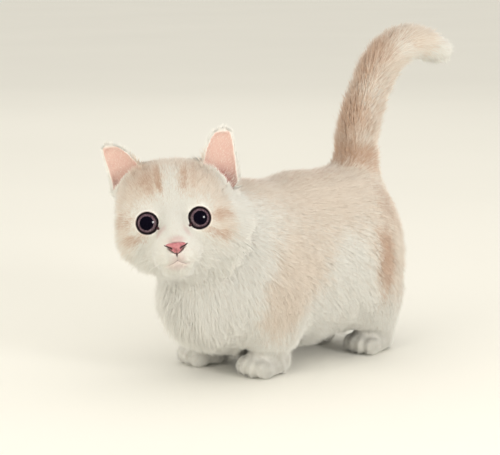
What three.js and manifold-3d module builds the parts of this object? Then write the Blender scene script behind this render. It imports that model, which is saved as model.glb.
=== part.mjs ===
// A munchkin kitten about nine weeks old, life-size: it stands on four short legs, its head turned to its left
// and its tail up. Millimetres, +Z up. The body faces -Y, and its left side is +X. The origin is on the floor,
// below the middle of the whole cat. The surfaces lie at the tips of the short coat.
import * as THREE from "three";
import { mergeVertices } from "three/addons/utils/BufferGeometryUtils.js";
import Module from "manifold-3d";

const wasm = await Module();
wasm.setup();

// Driving dimensions
const backHeight = 118; // floor to the top of the back
const halfWidth = 39; // middle of the body to the flank
const bellyHeight = 6.5; // floor to the lowest fur of the belly
const pawPlaces = { front_left: [23.5, -16.5], front_right: [-21.5, -27], hind_left: [23, 73], hind_right: [-16, 57] };
const pawSize = { halfWidth: 12.6, halfLength: 15.8 };
const wristHeight = 17; // where the paws end
const tailRadius = 13.5;
const eyeSpacing = 28.8; // between the middles of the two eyes
const eyeRadius = 7.6; // of the eyeball
const eyeOpening = 5.7; // radius of the round opening between the lids
const lidThickness = 0.8; // radius of a lid's rounded edge
const gap = 0.3; // between pieces that touch

// The head's own frame: its origin lies midway between the eyes, the face looks along -y, and x is its left
const eyeMiddle = new THREE.Vector3(32, -92.7, 104);
const headTurn = 52.5; // degrees to its left
const headLift = 9;
const headTilt = 5.5; // its left ear is the higher one

const up = new THREE.Vector3(0, 0, 1);
const vec = (x, y, z) => new THREE.Vector3(x, y, z);
const radians = THREE.MathUtils.degToRad;
const headFrame = new THREE.Matrix4()
  .makeRotationFromEuler(new THREE.Euler(radians(-headLift), radians(-headTilt), radians(headTurn), "ZXY"))
  .setPosition(eyeMiddle);
const intoHead = headFrame.clone().invert();
const fromHead = (x, y, z) => vec(x, y, z).applyMatrix4(headFrame);

// Solids: closed meshes that manifold-3d joins and cuts

function signedVolume(positions, index) {
  const [a, b, c] = [vec(), vec(), vec()];
  let sum = 0;
  for (let i = 0; i < index.length; i += 3) {
    a.fromArray(positions, 3 * index[i]);
    b.fromArray(positions, 3 * index[i + 1]);
    c.fromArray(positions, 3 * index[i + 2]);
    sum += a.dot(b.cross(c));
  }
  return sum;
}

function solidOf(geometry) {
  const bare = geometry.clone();
  bare.deleteAttribute("normal");
  bare.deleteAttribute("uv");
  const merged = mergeVertices(bare, 1e-3);
  const vertProperties = new Float32Array(merged.attributes.position.array);
  const corners = Array.from(merged.index.array);
  const kept = [];
  for (let i = 0; i < corners.length; i += 3) {
    const [a, b, c] = corners.slice(i, i + 3);
    if (a !== b && b !== c && c !== a) kept.push(a, b, c);
  }
  if (signedVolume(vertProperties, kept) < 0) kept.reverse();
  return new wasm.Manifold(new wasm.Mesh({ numProp: 3, vertProperties, triVerts: new Uint32Array(kept) }));
}

function geometryOf(solid) {
  const mesh = solid.getMesh();
  const geometry = new THREE.BufferGeometry();
  geometry.setAttribute("position", new THREE.BufferAttribute(new Float32Array(mesh.vertProperties), 3));
  geometry.setIndex(new THREE.BufferAttribute(new Uint32Array(mesh.triVerts), 1));
  geometry.computeVertexNormals();
  return geometry;
}

const largestOf = (solid) => solid.decompose().sort((a, b) => b.volume() - a.volume())[0];

// A block of half of all space, on the side of the point that the normal shows
function halfSpace(point, normal) {
  const reach = 500;
  const block = new THREE.BoxGeometry(reach, reach, reach);
  block.translate(0, 0, reach / 2);
  block.applyQuaternion(new THREE.Quaternion().setFromUnitVectors(up, normal.clone().normalize()));
  block.translate(point.x, point.y, point.z);
  return solidOf(block);
}

// What lies ahead of a cut, or behind it, with half a gap kept on each side
const aheadOf = (point, normal) => halfSpace(point.clone().addScaledVector(normal, gap / 2), normal);
const behind = (point, normal) => halfSpace(point.clone().addScaledVector(normal, -gap / 2), normal.clone().negate());

// A sphere whose rings run along t from 0 to 1 and whose points go where place(t, angle) puts them
function shapedSphere(around, along, place) {
  const sphere = new THREE.SphereGeometry(1, around, along);
  const position = sphere.attributes.position;
  for (let i = 0; i < position.count; i++) {
    const ring = Math.floor(i / (around + 1));
    const step = (i % (around + 1)) % around;
    const spot = place(ring / along, (step / around) * 2 * Math.PI);
    position.setXYZ(i, spot.x, spot.y, spot.z);
  }
  return solidOf(sphere);
}

function ball(centre, radii, frame = null, around = 16, along = 10) {
  const geometry = new THREE.SphereGeometry(1, around, along).scale(radii.x, radii.y, radii.z);
  geometry.translate(centre.x, centre.y, centre.z);
  if (frame) geometry.applyMatrix4(frame);
  return solidOf(geometry);
}

// Fields: each tells how far a point lies outside a rounded form, less than nothing inside it

function roundForm(centre, radii) {
  const scaled = vec();
  const squared = vec();
  return (p) => {
    scaled.subVectors(p, centre).divide(radii);
    squared.copy(scaled).divide(radii);
    const size = scaled.length();
    return size < 1e-6 ? -Math.min(radii.x, radii.y, radii.z) : (size * (size - 1)) / squared.length();
  };
}

function limb(from, to, fromRadius, toRadius) {
  const line = vec().subVectors(to, from);
  const offset = vec();
  return (p) => {
    offset.subVectors(p, from);
    const t = THREE.MathUtils.clamp(offset.dot(line) / line.lengthSq(), 0, 1);
    return offset.addScaledVector(line, -t).length() - THREE.MathUtils.lerp(fromRadius, toRadius, t);
  };
}

// Several forms as one, with the creases between them filled over about the given width
function flowing(width, ...forms) {
  return (p) =>
    forms.reduce((nearest, form) => {
      const next = form(p);
      const mix = Math.max(width - Math.abs(nearest - next), 0) / width;
      return Math.min(nearest, next) - (mix * mix * width) / 4;
    }, 1e3);
}

// Body

const barrel = flowing(
  16,
  roundForm(vec(0, -19, 61.5), vec(halfWidth - 1, 45, 51.5)),
  roundForm(vec(0, 27, (backHeight + bellyHeight) / 2), vec(halfWidth, 56, (backHeight - bellyHeight) / 2)),
  roundForm(vec(0, 66, backHeight - 44), vec(halfWidth - 2, 39, 43)),
);
const bib = roundForm(vec(2, -50, 49), vec(27, 26, 32));
const neckForm = limb(vec(0, -28, 82), vec(6, -62, 93), 34, 27);
const tailRoot = limb(vec(0, 79, 98), vec(0, 79.5, 134), tailRadius + 3, tailRadius);

const sides = [
  { name: "left", sign: 1 },
  { name: "right", sign: -1 },
];

// Each leg: the middle of its paw on the floor, its form, and the round space that parts it from the body
const legs = sides.flatMap(({ name, sign }) => {
  const front = vec(...pawPlaces["front_" + name], 0);
  const hind = vec(...pawPlaces["hind_" + name], 0);
  return [
    {
      name: "front_" + name,
      paw: front,
      pawTurn: sign * 6,
      form: flowing(
        9,
        roundForm(vec(sign * 22.5, -19, 56), vec(18, 24, 31)),
        limb(vec(sign * 23.5, front.y + 8, 46), vec(front.x, front.y + 3, 14), 18.5, 15),
      ),
      space: { middle: vec(sign * 30.5, front.y + 6, 30), radii: vec(26.5, 28, 37) },
    },
    {
      name: "hind_" + name,
      paw: hind,
      pawTurn: sign * 9,
      form: flowing(
        9,
        roundForm(vec(sign * 22, 67, 52), vec(18, 30, 38)),
        limb(vec(sign * 22, hind.y + 4, 34), vec(hind.x, hind.y + 2.5, 14), 16.5, 14),
      ),
      space: { middle: vec(hind.x + sign * 8, hind.y + 8, 31), radii: vec(26, 35, 42) },
    },
  ];
});

// Head, in its own frame

const headForms = [
  roundForm(vec(0, 28, 12), vec(32.5, 27, 24)),
  ...sides.flatMap(({ sign }) => [
    roundForm(vec(sign * 18, 22, -8), vec(16.5, 19, 17)),
    roundForm(vec(sign * 14, 16, 0.5), vec(13.5, 12.5, 13)),
    roundForm(vec(sign * 5.4, -2.5, -18.8), vec(7.6, 9, 6.4)),
  ]),
  roundForm(vec(0, 5, -7), vec(8, 13, 13)),
  roundForm(vec(0, 2, -26), vec(7.5, 8.5, 5.8)),
  roundForm(vec(0, 22, -20), vec(20, 15, 13)),
  roundForm(vec(28, 36, -10), vec(16.5, 19, 23)), // the ruff, which the turned head bunches on its left
];
const headLocal = flowing(10, ...headForms);
const headForm = (p) => headLocal(p.clone().applyMatrix4(intoHead));

const trunkForm = flowing(14, barrel, bib, neckForm, ...legs.map((leg) => leg.form));
const bodyForm = flowing(9, trunkForm, tailRoot);
const wholeForm = flowing(12, bodyForm, headForm);

// The surface of a field on a grid, as quads whose points are then drawn onto it
function netOf(field, low, high, cell) {
  const size = [0, 1, 2].map((axis) => Math.ceil((high[axis] - low[axis]) / cell) + 2);
  const at = (i, j, k) => (k * size[1] + j) * size[0] + i;
  const point = (i, j, k) => vec(low[0] + (i - 0.5) * cell, low[1] + (j - 0.5) * cell, low[2] + (k - 0.5) * cell);
  const value = new Float32Array(size[0] * size[1] * size[2]);
  const onEdge = (i, j, k) => [i, j, k].some((n, axis) => n === 0 || n === size[axis] - 1);
  for (let k = 0; k < size[2]; k++)
    for (let j = 0; j < size[1]; j++)
      for (let i = 0; i < size[0]; i++) value[at(i, j, k)] = onEdge(i, j, k) ? cell : field(point(i, j, k));

  const vertices = [];
  const vertexOf = new Map();
  const corners = [...Array(8).keys()].map((n) => [n & 1, (n >> 1) & 1, n >> 2]);
  for (let k = 0; k < size[2] - 1; k++)
    for (let j = 0; j < size[1] - 1; j++)
      for (let i = 0; i < size[0] - 1; i++) {
        const values = corners.map(([a, b, c]) => value[at(i + a, j + b, k + c)]);
        if (values.every((v) => v < 0) || values.every((v) => v >= 0)) continue;
        const middle = vec(0, 0, 0);
        let crossings = 0;
        corners.forEach((from, m) =>
          corners.forEach((to, n) => {
            const steps = from.reduce((sum, v, axis) => sum + Math.abs(v - to[axis]), 0);
            if (n <= m || steps !== 1 || values[m] < 0 === values[n] < 0) return;
            const t = values[m] / (values[m] - values[n]);
            const start = point(i + from[0], j + from[1], k + from[2]);
            middle.add(start.lerp(point(i + to[0], j + to[1], k + to[2]), t));
            crossings += 1;
          }),
        );
        middle.divideScalar(crossings);
        const rim = [i, j, k].some((n, axis) => n === 0 || n === size[axis] - 2);
        vertexOf.set(at(i, j, k), vertices.length);
        vertices.push(rim ? middle : drawnOnto(field, middle));
      }

  const index = [];
  const axes = [
    [1, 0, 0],
    [0, 1, 0],
    [0, 0, 1],
  ];
  for (let k = 0; k < size[2] - 1; k++)
    for (let j = 0; j < size[1] - 1; j++)
      for (let i = 0; i < size[0] - 1; i++)
        axes.forEach((step, axis) => {
          const here = value[at(i, j, k)] < 0;
          if (here === value[at(i + step[0], j + step[1], k + step[2])] < 0) return;
          const [u, v] = [axes[(axis + 1) % 3], axes[(axis + 2) % 3]];
          const cellAt = (a, b) => vertexOf.get(at(i - a * u[0] - b * v[0], j - a * u[1] - b * v[1], k - a * u[2] - b * v[2]));
          const quad = [cellAt(0, 0), cellAt(1, 0), cellAt(1, 1), cellAt(0, 1)];
          if (!here) quad.reverse();
          index.push(quad[0], quad[1], quad[2], quad[0], quad[2], quad[3]);
        });
  const geometry = new THREE.BufferGeometry().setFromPoints(vertices);
  geometry.setIndex(index);
  return solidOf(geometry);
}

function drawnOnto(field, start) {
  const step = 0.05;
  const p = start.clone();
  for (let round = 0; round < 4; round++) {
    const here = field(p);
    const slope = vec(
      field(p.clone().setX(p.x + step)) - here,
      field(p.clone().setY(p.y + step)) - here,
      field(p.clone().setZ(p.z + step)) - here,
    ).divideScalar(step);
    p.addScaledVector(slope, -here / Math.max(slope.lengthSq(), 0.2));
  }
  return p.distanceTo(start) < 4 ? p : start;
}

// The distance from a start inside a field to its surface, along a direction
function reachOf(field, start, direction, furthest) {
  const stride = 1.5;
  const at = (distance) => field(start.clone().addScaledVector(direction, distance));
  let inner = 0;
  while (inner < furthest && at(inner + stride) < 0) inner += stride;
  if (inner >= furthest) return furthest;
  let outer = inner + stride;
  for (let round = 0; round < 14; round++) {
    const middle = (inner + outer) / 2;
    if (at(middle) < 0) inner = middle;
    else outer = middle;
  }
  return (inner + outer) / 2;
}

// Head: skin, sockets, lids, lips and the line of the mouth

// Where the face lies straight ahead of (x, z), as a y of the head's frame
function faceDepth(x, z) {
  const inside = 14;
  return inside - reachOf(headLocal, vec(x, inside, z), vec(0, -1, 0), 40);
}

const onFace = (x, z, lift) => fromHead(x, faceDepth(x, z) - lift, z);

const headMiddle = fromHead(0, 14, -4);
const headDetail = 9;

function headSkin(offset) {
  const furthest = 56;
  const geometry = new THREE.IcosahedronGeometry(1, headDetail).applyMatrix4(new THREE.Matrix4().extractRotation(headFrame));
  const position = geometry.attributes.position;
  const direction = vec();
  for (let i = 0; i < position.count; i++) {
    direction.fromBufferAttribute(position, i).normalize();
    const reach = reachOf(wholeForm, headMiddle, direction, furthest) + offset;
    const spot = headMiddle.clone().addScaledVector(direction, reach);
    position.setXYZ(i, spot.x, spot.y, spot.z);
  }
  return solidOf(geometry);
}

// The middles of the lids' edges run round each eye on a circle, and the circle lies on the face
const lidCircle = eyeOpening + 0.7 * lidThickness;
const lidDepth = Math.sqrt((eyeRadius + gap) ** 2 - lidCircle ** 2);
const lidSegments = 20;
const eyes = sides.map(({ name, sign }) => {
  const x = (sign * eyeSpacing) / 2;
  const around = [...Array(8).keys()].map((n) => (n * Math.PI) / 4);
  const depths = around.map((turn) => faceDepth(x + lidCircle * Math.cos(turn), lidCircle * Math.sin(turn)));
  const depth = depths.reduce((sum, value) => sum + value, 0) / depths.length;
  const outward = new THREE.Matrix4().makeRotationZ(radians(sign * 7));
  const frame = headFrame.clone().multiply(outward.setPosition(x, depth + lidDepth, 0));
  return { name, sign, frame };
});

const eyeBall = (frame, radius) => ball(vec(0, 0, 0), vec(radius, radius, radius), frame, 16, 10);

// The round edges of both lids as one ring about the eye's own axis, which its frame's -y shows
function lidRing(frame) {
  const profile = [...Array(6).keys()].map((n) => {
    const angle = (n / 5) * 2 * Math.PI;
    return new THREE.Vector2(lidCircle + lidThickness * Math.cos(angle), lidThickness * Math.sin(angle));
  });
  const ring = new THREE.LatheGeometry(profile, lidSegments);
  return solidOf(ring.translate(0, -lidDepth, 0).applyMatrix4(frame));
}

// The open space before an eye, which widens forward from the lids
function eyeWell(frame) {
  const [narrow, wide, length] = [lidCircle, lidCircle + 6, 9];
  const profile = [
    new THREE.Vector2(0, -lidDepth),
    new THREE.Vector2(narrow, -lidDepth),
    new THREE.Vector2(wide, -lidDepth - length),
    new THREE.Vector2(0, -lidDepth - length),
  ];
  return solidOf(new THREE.LatheGeometry(profile, lidSegments).applyMatrix4(frame));
}

// A thin round cord along the face, for a lip when it is added and for a line when it is cut
function faceCord(points, lift, radius) {
  const curve = new THREE.CatmullRomCurve3(points.map(([x, z]) => onFace(x, z, lift)));
  const steps = 9;
  const around = 5;
  const frames = curve.computeFrenetFrames(steps);
  return shapedSphere(around, steps, (t, angle) => {
    const ring = Math.round(t * steps);
    const size = radius * Math.sqrt(Math.max(0, 1 - (2 * t - 1) ** 6));
    return curve
      .getPointAt(t)
      .addScaledVector(frames.normals[ring], size * Math.cos(angle))
      .addScaledVector(frames.binormals[ring], size * Math.sin(angle));
  });
}

const mouth = { philtrumTop: -18, parting: -22.5, cornerX: 8.6, cornerZ: -24, lineRadius: 0.6 };
const lipLine = (sign) => [
  [0, mouth.parting],
  [sign * 3, mouth.parting - 2],
  [sign * 6, mouth.parting - 2.3],
  [sign * mouth.cornerX, mouth.cornerZ],
];
const philtrumLine = [
  [0, mouth.philtrumTop],
  [0, mouth.parting],
];

const nose = { middle: vec(0, -11.4, -15.1), halfWidth: 5.2, halfHeight: 3.0, depth: 3.4 };

// The leather: wide and flat above, drawn in to a point below
function noseForm(extra) {
  return shapedSphere(16, 9, (t, angle) => {
    const polar = t * Math.PI;
    const down = (1 - Math.cos(polar)) / 2;
    const narrowing = 1 - 0.42 * down ** 1.5;
    const x = (nose.halfWidth + extra) * Math.sin(polar) * Math.cos(angle) * narrowing;
    const y = (nose.depth + extra) * Math.sin(polar) * Math.sin(angle) + 1.4 * down;
    const z = (nose.halfHeight + extra) * Math.cos(polar);
    return vec(x, y, z).add(nose.middle).applyMatrix4(headFrame);
  });
}

function nostril(sign) {
  const frame = new THREE.Matrix4().makeRotationFromEuler(new THREE.Euler(0, radians(sign * 28), radians(sign * -24)));
  frame.setPosition(sign * 3.1, nose.middle.y - 2.6, nose.middle.z - 0.5);
  return ball(vec(0, 0, 0), vec(1.5, 2.0, 0.85), headFrame.clone().multiply(frame), 8, 6);
}

// Ears: cups on the sides of the crown, upright along their outer edges and slanting inward below the tips

const ear = { halfWidth: 13.8, back: 7.5, wall: 2.1, roundedRoot: 0.24, narrowing: 0.33 };
const ears = {
  left: { sign: 1, root: vec(28.5, 27, 8), tip: vec(34, 21.5, 49.8) },
  right: { sign: -1, root: vec(-21.5, 27, 8), tip: vec(-33.5, 21.5, 47.2) },
};

function earCone({ sign, root, tip }, shrink, forward) {
  const facing = vec(sign * 0.28, -0.94, 0.2).normalize();
  const across = vec().crossVectors(vec(sign * 0.1, 0, 1), facing).normalize();
  const topHeight = 1 - 0.022 * shrink;
  return shapedSphere(14, 11, (t, angle) => {
    const risen = 1 - (1 - t) ** 1.5;
    const height = risen * topHeight;
    const open = Math.sqrt(1 - Math.max(0, 1 - risen / ear.roundedRoot) ** 2);
    const wide = Math.max((ear.halfWidth - shrink) * open * (1 - risen) ** ear.narrowing, 0.3);
    const turn = Math.sin(angle);
    const deep = turn < 0 ? Math.max(ear.back * open * (1 - 0.7 * height) - shrink, 0.3) : 0.9 + forward;
    const flat = t === 0 || t === 1 ? 0 : 1;
    return vec(THREE.MathUtils.lerp(root.x, tip.x, height ** 2.2), 0, 0)
      .setY(THREE.MathUtils.lerp(root.y, tip.y, height) + 1.2 * Math.sin(height * Math.PI))
      .setZ(THREE.MathUtils.lerp(root.z, tip.z, height))
      .addScaledVector(across, flat * wide * Math.cos(angle))
      .addScaledVector(facing, flat * deep * turn)
      .applyMatrix4(headFrame);
  });
}

// Paws: a flat-soled pad of the foot with four toes that stand out in front

function pawSolid(leg) {
  const { halfWidth: width, halfLength: length } = pawSize;
  const frame = new THREE.Matrix4().makeRotationZ(radians(leg.pawTurn)).setPosition(leg.paw);
  const foot = ball(vec(0, 1.5, 8), vec(width, length, 10.5), frame, 12, 7);
  const wrist = ball(vec(0, 3, 14), vec(width + 0.9, 13.4, 12), frame, 12, 6);
  const toes = [-1.5, -0.5, 0.5, 1.5].map((place) => {
    const ahead = -length * (0.72 - 0.07 * place * place);
    return ball(vec(place * width * 0.47, ahead, 6), vec(width * 0.31, 7.6, 6.4), frame, 8, 6);
  });
  return toes.reduce((whole, toe) => whole.add(toe), foot.add(wrist)).intersect(halfSpace(vec(0, 0, 0), up));
}

// Tail: one curve in the body's middle plane, in three lengths

const tailPath = new THREE.CatmullRomCurve3(
  [
    [79, 112],
    [79.3, 126],
    [82, 142],
    [88.5, 160],
    [98, 177],
    [110, 189],
    [127, 194.5],
    [146, 191.5],
    [163, 184],
  ].map(([y, z]) => vec(0, y, z)),
);
const tailCuts = [0.1, 0.42, 0.74, 1];

function tailThickness(t) {
  const taper = t < 0.55 ? 1 + 0.3 * (0.55 - t) ** 2 : 1 - 0.42 * ((t - 0.55) / 0.45) ** 1.6;
  const roundEnd = t > 0.93 ? Math.sqrt(Math.max(0, 1 - ((t - 0.93) / 0.07) ** 2)) : 1;
  return tailRadius * taper * roundEnd;
}

// A stretch of the tail from one place to another along its path, with flat ends but for the tip
function tailLength(from, to) {
  const half = gap / 2 / tailPath.getLength();
  const [start, end] = [from + half, to === 1 ? 1 : to - half];
  const rings = to === 1 ? 10 : 8;
  const easing = to === 1 ? 1.7 : 1;
  const side = vec(1, 0, 0);
  return shapedSphere(14, rings + 2, (t, angle) => {
    const ring = THREE.MathUtils.clamp(Math.round(t * (rings + 2)) - 1, 0, rings);
    const along = end - (end - start) * (1 - ring / rings) ** easing;
    const radius = t === 0 || t === 1 ? 0 : tailThickness(along);
    return tailPath
      .getPointAt(along)
      .addScaledVector(side, radius * Math.cos(angle))
      .addScaledVector(vec().crossVectors(tailPath.getTangentAt(along), side), radius * Math.sin(angle));
  });
}

// Cuts between the pieces

const skullCut = { point: vec(7, -60, 96), normal: vec(0.2, -0.82, 0.53).normalize() };
const neckCut = { point: vec(0, -48, 84), normal: vec(0.05, -0.84, 0.54).normalize() };
const tailCut = { point: tailPath.getPointAt(tailCuts[0]), normal: tailPath.getTangentAt(tailCuts[0]) };

function legSpace({ space }, clearance) {
  return ball(space.middle, space.radii.clone().addScalar(clearance), null, 18, 10);
}

// The room that the fur of the chest and belly leaves round a paw
function pawSpace(leg) {
  const frame = new THREE.Matrix4().makeRotationZ(radians(leg.pawTurn)).setPosition(leg.paw);
  const radii = vec(pawSize.halfWidth + 5, pawSize.halfLength + 8, wristHeight - 1);
  return ball(vec(0, -2, 5), radii, frame, 18, 10);
}

function makeHead() {
  let head = headSkin(0);
  for (const { frame } of eyes) head = head.subtract(eyeWell(frame));
  for (const { frame } of eyes) head = head.add(lidRing(frame));
  for (const { sign } of sides) head = head.add(faceCord(lipLine(sign), -0.3, 1.0));
  for (const { sign } of sides) head = head.subtract(faceCord(lipLine(sign), 0.5, mouth.lineRadius));
  head = head.subtract(faceCord(philtrumLine, 0.3, mouth.lineRadius));
  for (const { frame } of eyes) head = head.subtract(eyeBall(frame, eyeRadius + gap));
  return head.subtract(noseForm(gap)).intersect(aheadOf(skullCut.point, skullCut.normal));
}

function makeNeck() {
  return netOf(wholeForm, [-44, -84, 40], [46, -20, 124], 6.5)
    .intersect(behind(skullCut.point, skullCut.normal))
    .intersect(aheadOf(neckCut.point, neckCut.normal));
}

function makeTorso() {
  let torso = netOf(bodyForm, [-48, -86, 1], [48, 110, 136], 8.2)
    .intersect(behind(neckCut.point, neckCut.normal))
    .intersect(behind(tailCut.point, tailCut.normal));
  for (const leg of legs) torso = torso.subtract(legSpace(leg, gap)).subtract(pawSpace(leg));
  return torso;
}

function makeLeg(leg) {
  const { middle, radii } = leg.space;
  const low = middle.clone().sub(radii).toArray();
  const high = middle.clone().add(radii).toArray();
  return netOf(bodyForm, [low[0], low[1], wristHeight - 5], high, 6)
    .intersect(legSpace(leg, 0))
    .intersect(aheadOf(vec(0, 0, wristHeight), up));
}

const makePaw = (leg) => pawSolid(leg).intersect(behind(vec(0, 0, wristHeight), up));
const makeNose = () => [-1, 1].reduce((whole, sign) => whole.subtract(nostril(sign)), noseForm(0));
const makeEar = (place) => earCone(place, 0, 0).subtract(earCone(place, ear.wall, 14)).subtract(headSkin(gap));

// The cat as a group of named meshes

const finish = (color, roughness) => new THREE.MeshStandardMaterial({ color, roughness, metalness: 0 });
const finishes = {
  white: finish(0xf1ebdd, 0.85),
  cream: finish(0xe6d2b8, 0.85),
  earSkin: finish(0xf0c8b8, 0.7),
  noseLeather: finish(0xd87a80, 0.45),
  eye: finish(0x15131c, 0.05),
};

const cat = new THREE.Group();

function addPiece(name, solid, material) {
  const mesh = new THREE.Mesh(geometryOf(largestOf(solid)), material);
  mesh.name = name;
  cat.add(mesh);
}

addPiece("head", makeHead(), finishes.white);
addPiece("nose", makeNose(), finishes.noseLeather);
for (const name of ["left", "right"]) addPiece("ear_" + name, makeEar(ears[name]), finishes.earSkin);
for (const { name, frame } of eyes) addPiece("eye_" + name, eyeBall(frame, eyeRadius), finishes.eye);
addPiece("neck", makeNeck(), finishes.white);
addPiece("torso", makeTorso(), finishes.cream);
for (const leg of legs) {
  addPiece("leg_" + leg.name, makeLeg(leg), finishes.cream);
  addPiece("paw_" + leg.name, makePaw(leg), finishes.white);
}
["tail_base", "tail_middle", "tail_tip"].forEach((name, n) =>
  addPiece(name, tailLength(tailCuts[n], tailCuts[n + 1]), finishes.cream),
);

// The origin goes to the floor below the middle of the box round the cat
const extent = new THREE.Box3().setFromObject(cat);
const middle = extent.getCenter(vec());
cat.position.set(-middle.x, -middle.y, 0);

export default cat;
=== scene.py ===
import math

import bpy
import numpy as np
from mathutils import Matrix, Vector
from mathutils.bvhtree import BVHTree
from mathutils.kdtree import KDTree


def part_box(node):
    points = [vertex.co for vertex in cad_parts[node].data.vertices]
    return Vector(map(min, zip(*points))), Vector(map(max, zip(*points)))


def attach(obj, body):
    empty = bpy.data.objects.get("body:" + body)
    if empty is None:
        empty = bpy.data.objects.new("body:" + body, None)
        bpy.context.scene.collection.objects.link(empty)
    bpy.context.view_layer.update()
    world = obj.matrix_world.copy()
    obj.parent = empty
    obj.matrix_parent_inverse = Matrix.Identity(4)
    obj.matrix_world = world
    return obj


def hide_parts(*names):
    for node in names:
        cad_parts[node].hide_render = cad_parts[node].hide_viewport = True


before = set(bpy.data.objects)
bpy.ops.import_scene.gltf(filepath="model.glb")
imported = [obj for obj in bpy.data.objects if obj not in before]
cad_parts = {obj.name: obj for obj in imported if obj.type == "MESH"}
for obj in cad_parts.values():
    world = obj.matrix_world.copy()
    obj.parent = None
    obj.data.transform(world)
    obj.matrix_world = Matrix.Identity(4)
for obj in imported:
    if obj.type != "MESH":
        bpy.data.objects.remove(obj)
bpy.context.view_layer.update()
mm = 0.001
print("frame loaded")


# Tools for the pieces

def only(*pieces):
    bpy.ops.object.select_all(action="DESELECT")
    for piece in pieces:
        piece.select_set(True)
    bpy.context.view_layer.objects.active = pieces[0]


def applyModifier(piece, kind, **settings):
    only(piece)
    modifier = piece.modifiers.new(kind.capitalize(), kind)
    for name, value in settings.items():
        setattr(modifier, name, value)
    bpy.ops.object.modifier_apply(modifier=modifier.name)


def joined(name, pieces):
    only(*pieces)
    bpy.ops.object.join()
    piece = bpy.context.view_layer.objects.active
    piece.name = name
    piece.data.name = name
    return piece


def inEditMode(piece, act, **settings):
    only(piece)
    bpy.ops.object.mode_set(mode="EDIT")
    bpy.ops.mesh.select_all(action="SELECT")
    act(**settings)
    bpy.ops.object.mode_set(mode="OBJECT")


def smooth(piece):
    only(piece)
    bpy.ops.object.shade_smooth()


def linked(name, data):
    piece = bpy.data.objects.new(name, data)
    bpy.context.scene.collection.objects.link(piece)
    return piece


def newPrimitive(kind, name, **shape):
    bpy.ops.object.select_all(action="DESELECT")
    getattr(bpy.ops.mesh, "primitive_" + kind + "_add")(**shape)
    piece = bpy.context.view_layer.objects.active
    piece.name = name
    piece.data.name = name
    return piece


def pointsOf(piece):
    points = np.zeros(3 * len(piece.data.vertices))
    piece.data.vertices.foreach_get("co", points)
    return points.reshape(-1, 3)


def normalsOf(piece):
    normals = np.zeros(3 * len(piece.data.vertices), np.float32)
    piece.data.vertex_normals.foreach_get("vector", normals)
    return normals.reshape(-1, 3).astype(float)


def movePoints(piece, points):
    piece.data.vertices.foreach_set("co", points.astype(np.float32).ravel())
    piece.data.update()


def unit(vectors):
    return vectors / np.maximum(np.linalg.norm(vectors, axis=-1, keepdims=True), 1e-12)


def bell(distance, reach):
    return np.exp(-0.5 * (distance / reach) ** 2)


def ease(low, high, values):
    t = np.clip((values - low) / (high - low), 0, 1)
    return t * t * (3 - 2 * t)


def addNumbers(piece, name, values):
    attribute = piece.data.attributes.new(name, "FLOAT", "POINT")
    attribute.data.foreach_set("value", values.astype(np.float32))


def addColours(piece, name, values):
    attribute = piece.data.attributes.new(name, "FLOAT_COLOR", "POINT")
    attribute.data.foreach_set("color", values.astype(np.float32).ravel())


# Camera, light and floor

view = {
    "target": (-0.0212, -0.0196, 0.0819),
    "azimuth": 50,
    "elevation": 10,
    "distance": 0.9975,
    "lens": 114,
}
studio = {
    "lamps": [  # name, azimuth, elevation, distance, size, watts, colour
        ("windowLamp", 98, 14, 1.1, 0.3, 4.4, (1, 0.98, 0.95)),
        ("frontLamp", 0, 4, 1.5, 1.6, 13, (1, 0.97, 0.89)),
        ("topLamp", 150, 72, 1.4, 1.6, 2, (1, 0.96, 0.90)),
        ("backLamp", 235, 35, 1.6, 1.6, 1.2, (1, 0.97, 0.91)),
    ],
    "sky": (1.0, 0.97, 0.90),
    "skyStrength": 0.90,
    "floorColour": (0.92, 0.905, 0.84),
    "floorRadius": 14,
}


def backVector(azimuth, elevation):
    a, e = math.radians(azimuth), math.radians(elevation)
    return Vector((math.sin(a) * math.cos(e), -math.cos(a) * math.cos(e), math.sin(e)))


def placeCamera():
    cameraData = bpy.data.cameras.new("camera")
    cameraData.lens = view["lens"]
    cameraData.sensor_width = 36
    cameraData.clip_start = 0.05
    camera = linked("camera", cameraData)
    back = backVector(view["azimuth"], view["elevation"])
    camera.location = Vector(view["target"]) + back * view["distance"]
    camera.rotation_mode = "QUATERNION"
    camera.rotation_quaternion = (-back).to_track_quat("-Z", "Y")
    bpy.context.scene.camera = camera


def placeLamps():
    middle = Vector((0, 0, 0.09))
    for name, azimuth, elevation, distance, size, watts, colour in studio["lamps"]:
        lampData = bpy.data.lights.new(name, "AREA")
        lampData.shape = "DISK" if size > 1 else "SQUARE"
        lampData.size = size
        lampData.energy = watts
        lampData.color = colour
        lamp = linked(name, lampData)
        back = backVector(azimuth, elevation)
        lamp.location = middle + back * distance
        lamp.visible_glossy = name == "windowLamp"
        lamp.rotation_mode = "QUATERNION"
        lamp.rotation_quaternion = back.to_track_quat("Z", "Y")
    world = bpy.data.worlds.new("sky")
    bpy.context.scene.world = world
    world.use_nodes = True
    background = world.node_tree.nodes["Background"]
    background.inputs["Color"].default_value = (*studio["sky"], 1)
    background.inputs["Strength"].default_value = studio["skyStrength"]
    world.cycles_visibility.glossy = False
    bpy.context.scene.view_settings.view_transform = "Standard"


placeCamera()
placeLamps()
print("camera and lamps placed")


# Shader maths: a wire carries one output of a node, and its operators add the nodes

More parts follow.
